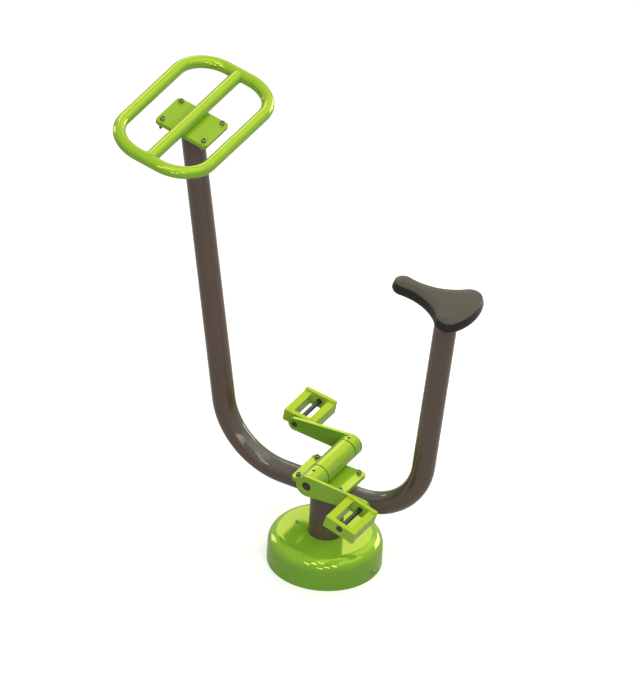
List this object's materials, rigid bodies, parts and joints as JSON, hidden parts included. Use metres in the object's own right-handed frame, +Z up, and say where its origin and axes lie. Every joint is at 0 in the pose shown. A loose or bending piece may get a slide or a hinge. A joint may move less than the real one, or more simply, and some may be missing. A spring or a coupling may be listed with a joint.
{
  "type": "outdoor exercise bike",
  "caption": "Outdoor exercise bike: bent tube frame on a bolted base with a domed cover, a looped handlebar, a moulded saddle, and a crank with window pedals on sealed bearings.",
  "frame": {"origin": "centre of the base flange's underside, on the ground", "axes": "+X forwards to the handlebar, +Y to the rider's left, +Z up"},
  "size_m": [0.9989, 0.4978, 1.2441],
  "materials": {
    "green_paint": "gloss powder coat, lime green",
    "grey_paint": "gloss powder coat, brown-grey",
    "saddle_skin": "matt integral-skin polyurethane, dark olive grey",
    "plain_steel": "plain and zinc-plated steel",
    "galvanised_steel": "hot-dip galvanised",
    "seal_rubber": "matt black",
    "bush_bronze": "sintered bronze",
    "pedal_moulding": "moulded nylon, gloss lime green"
  },
  "bodies": {
    "frame": {"base_flange": "galvanised_steel", "pedestal_tube": "grey_paint", "pedestal_caps": "grey_paint", "base_gussets": "galvanised_steel", "base_cover_right": "green_paint", "base_cover_left": "green_paint", "base_cover_screws": "plain_steel", "main_tube": "grey_paint", "mast_top_plate": "green_paint", "handlebar_plate": "green_paint", "handlebar_bolts": "plain_steel", "handlebar_washers": "plain_steel", "handlebar_nuts": "plain_steel", "handlebar_loop": "green_paint", "handlebar_crossbar": "green_paint", "seat_plate": "grey_paint", "saddle": "saddle_skin", "saddle_base": "galvanised_steel", "saddle_bolts": "plain_steel", "crank_mount_plate": "green_paint", "crank_carrier_plate": "green_paint", "crank_plate_bolts": "plain_steel", "crank_plate_washers": "plain_steel", "crank_plate_nuts": "plain_steel", "crank_housing": "green_paint", "bearing_circlips": "plain_steel", "axle_seals": "seal_rubber", "left_bearing_outer_ring": "plain_steel", "right_bearing_outer_ring": "plain_steel"},
    "crank": {"crank_axle": "plain_steel", "crank_keys": "plain_steel", "crank_set_screws": "plain_steel", "left_bearing_inner_ring": "plain_steel", "left_crank_boss": "green_paint", "left_crank_arm": "green_paint", "left_pedal_spindle": "plain_steel", "left_pedal_washers": "plain_steel", "left_pedal_clip": "plain_steel", "right_bearing_inner_ring": "plain_steel", "right_crank_boss": "green_paint", "right_crank_arm": "green_paint", "right_pedal_spindle": "plain_steel", "right_pedal_washers": "plain_steel", "right_pedal_clip": "plain_steel"},
    "left_pedal": {"left_pedal_body": "pedal_moulding", "left_pedal_bushes": "bush_bronze"},
    "right_pedal": {"right_pedal_body": "pedal_moulding", "right_pedal_bushes": "bush_bronze"},
    "left_cage": {"left_bearing_cage": "plain_steel"},
    "right_cage": {"right_bearing_cage": "plain_steel"}
  },
  "joints": [
    {"name": "crank_spin", "type": "hinge", "parent": "frame", "child": "crank", "pos_m": [0, -0.0145, 0.2913], "axis": [0, 1, 0], "continuous": true},
    {"name": "left_pedal_spin", "type": "hinge", "parent": "crank", "child": "left_pedal", "pos_m": [-0.1675, 0.1785, 0.2913], "axis": [0, 1, 0], "continuous": true},
    {"name": "right_pedal_spin", "type": "hinge", "parent": "crank", "child": "right_pedal", "pos_m": [0.1675, -0.1875, 0.2913], "axis": [0, 1, 0], "continuous": true},
    {"name": "left_cage_spin", "type": "hinge", "parent": "frame", "child": "left_cage", "pos_m": [0, 0.0355, 0.2913], "axis": [0, 1, 0], "continuous": true},
    {"name": "right_cage_spin", "type": "hinge", "parent": "frame", "child": "right_cage", "pos_m": [0, -0.0645, 0.2913], "axis": [0, 1, 0], "continuous": true}
  ],
  "couplings": [
    {"joint": "left_pedal_spin", "follows": "crank_spin", "ratio": -1},
    {"joint": "right_pedal_spin", "follows": "crank_spin", "ratio": -1},
    {"joint": "left_cage_spin", "follows": "crank_spin", "ratio": 0.3974},
    {"joint": "right_cage_spin", "follows": "crank_spin", "ratio": 0.3974}
  ]
}
